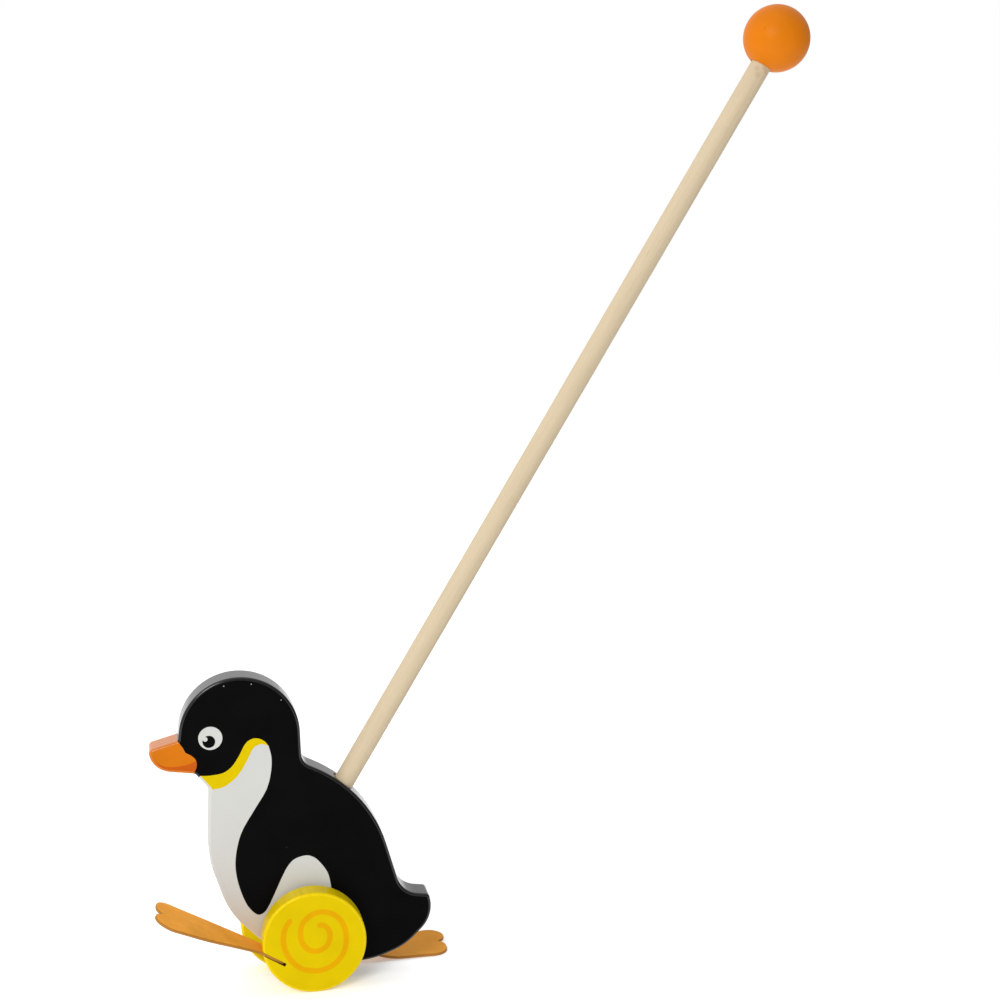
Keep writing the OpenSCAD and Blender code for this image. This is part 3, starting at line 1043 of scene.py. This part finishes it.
class PENGUIN_OT_ball(bpy.types.Operator):
    """Make the lacquered ball, with a small flat and a hole for the stick"""

    bl_idname = "penguin.ball"
    bl_label = "Ball"

    def execute(self, context):
        sizes, colours = context.scene.penguin_sizes, context.scene.penguin_colours
        radius, bore = sizes.ball_diameter / 2, sizes.stick_diameter / 2
        flat = bore + 0.001
        rim = 0.0004
        first = -math.acos(flat / radius)
        deep = (BALL_PAST + 0.5) * MM
        profile = [(0, deep), (bore, deep), (bore, -math.sqrt(radius ** 2 - flat ** 2) + rim),
                   (bore + rim, -math.sqrt(radius ** 2 - flat ** 2))]
        cuts = 40
        for i in range(cuts):
            angle = first + (math.pi / 2 - first) * i / cuts
            profile.append((radius * math.cos(angle), radius * math.sin(angle)))
        profile.append((0, radius))
        lift = (SEAT_GAP - BACK_SEAT) * MM + stick_length(sizes) - BALL_PAST * MM
        matrix = stick_matrix(drawn_scale(sizes)) @ Matrix.Translation((0, 0, lift))
        towards = matrix.to_3x3().inverted() @ Vector(PIT_TOWARDS).normalized()
        paint = ball_lacquer(colours, [tuple(towards * radius)])
        made = piece("ball_knob", *turned(profile, 96), [paint], matrix=matrix)
        soften(made)
        finish_piece(made, "penguin", "orange_ball", "ball")
        return {"FINISHED"}


# ---------------------------------------------------------------- stage


def lamp(name, at, towards, size, power, colour=(1, 1, 1)):
    """A soft square light that shines towards a point."""
    data = bpy.data.lights.new(name, "AREA")
    data.shape = "SQUARE"
    data.size = size
    data.energy = power
    data.color = colour
    made = bpy.data.objects.new(name, data)
    made.location = at
    made.rotation_mode = "QUATERNION"
    made.rotation_quaternion = (Vector(towards) - Vector(at)).to_track_quat("-Z", "Y")
    bpy.context.scene.collection.objects.link(made)


class PENGUIN_OT_stage(bpy.types.Operator):
    """Make the pale floor, the soft studio light and the camera"""

    bl_idname = "penguin.stage"
    bl_label = "Stage"

    def execute(self, context):
        scene = context.scene
        wide, cuts = 4, 96
        rim = [(wide * math.cos(math.tau * i / cuts), wide * math.sin(math.tau * i / cuts), 0)
               for i in range(cuts)]
        floor = piece("floor", rim, [list(range(cuts))], [studio_floor(scene.penguin_colours.floor)])
        scene.world = studio_light()
        lamp("front light", (-1.0, -1.9, 1.35), (0, 0, 0.2), 0.9, 30)
        scene.view_settings.view_transform = "Standard"
        self.camera(scene)
        return {"FINISHED"}

    @staticmethod
    def camera(scene):
        """The camera stands to the penguin's left and looks slightly down at the whole toy."""
        yaw, pitch, roll = (math.radians(a) for a in (10.19, 10.14, -1.281))
        ahead = Vector((math.sin(yaw) * math.cos(pitch), math.cos(yaw) * math.cos(pitch), -math.sin(pitch)))
        level = Vector((math.cos(yaw), -math.sin(yaw), 0))
        up = level.cross(ahead)
        right = level * math.cos(roll) + up * math.sin(roll)
        up = up * math.cos(roll) - level * math.sin(roll)
        data = bpy.data.cameras.new("camera")
        data.sensor_width = 36
        data.lens = 74.234
        made = bpy.data.objects.new("camera", data)
        turn = Matrix((right, up, -ahead)).transposed().to_4x4()
        made.matrix_world = Matrix.Translation((-0.08308, -1.14800, 0.48637)) @ turn
        scene.collection.objects.link(made)
        scene.camera = made


# ---------------------------------------------------------------- panel and registration

STEPS = (PENGUIN_OT_board, PENGUIN_OT_axle, PENGUIN_OT_wheels, PENGUIN_OT_feet, PENGUIN_OT_stick,
         PENGUIN_OT_ball, PENGUIN_OT_stage)


class VIEW3D_PT_penguin(bpy.types.Panel):
    """Sizes, colours and the steps that make the penguin"""

    bl_idname = "VIEW3D_PT_penguin"
    bl_label = "Push-along penguin"
    bl_space_type = "VIEW_3D"
    bl_region_type = "UI"
    bl_category = "Penguin"

    def draw(self, context):
        for group in (context.scene.penguin_sizes, context.scene.penguin_colours):
            box = self.layout.box()
            for name in type(group).__annotations__:
                box.prop(group, name)
        for step in STEPS:
            self.layout.operator(step.bl_idname)


CLASSES = (PenguinSizes, PenguinColours, *STEPS, VIEW3D_PT_penguin)


def register():
    for kind in CLASSES:
        bpy.utils.register_class(kind)
    bpy.types.Scene.penguin_sizes = bpy.props.PointerProperty(type=PenguinSizes)
    bpy.types.Scene.penguin_colours = bpy.props.PointerProperty(type=PenguinColours)


def unregister():
    del bpy.types.Scene.penguin_colours
    del bpy.types.Scene.penguin_sizes
    for kind in reversed(CLASSES):
        bpy.utils.unregister_class(kind)


def main():
    register()
    for step in STEPS:
        getattr(bpy.ops.penguin, step.bl_idname.split(".")[1])()


if __name__ == "__main__":
    main()
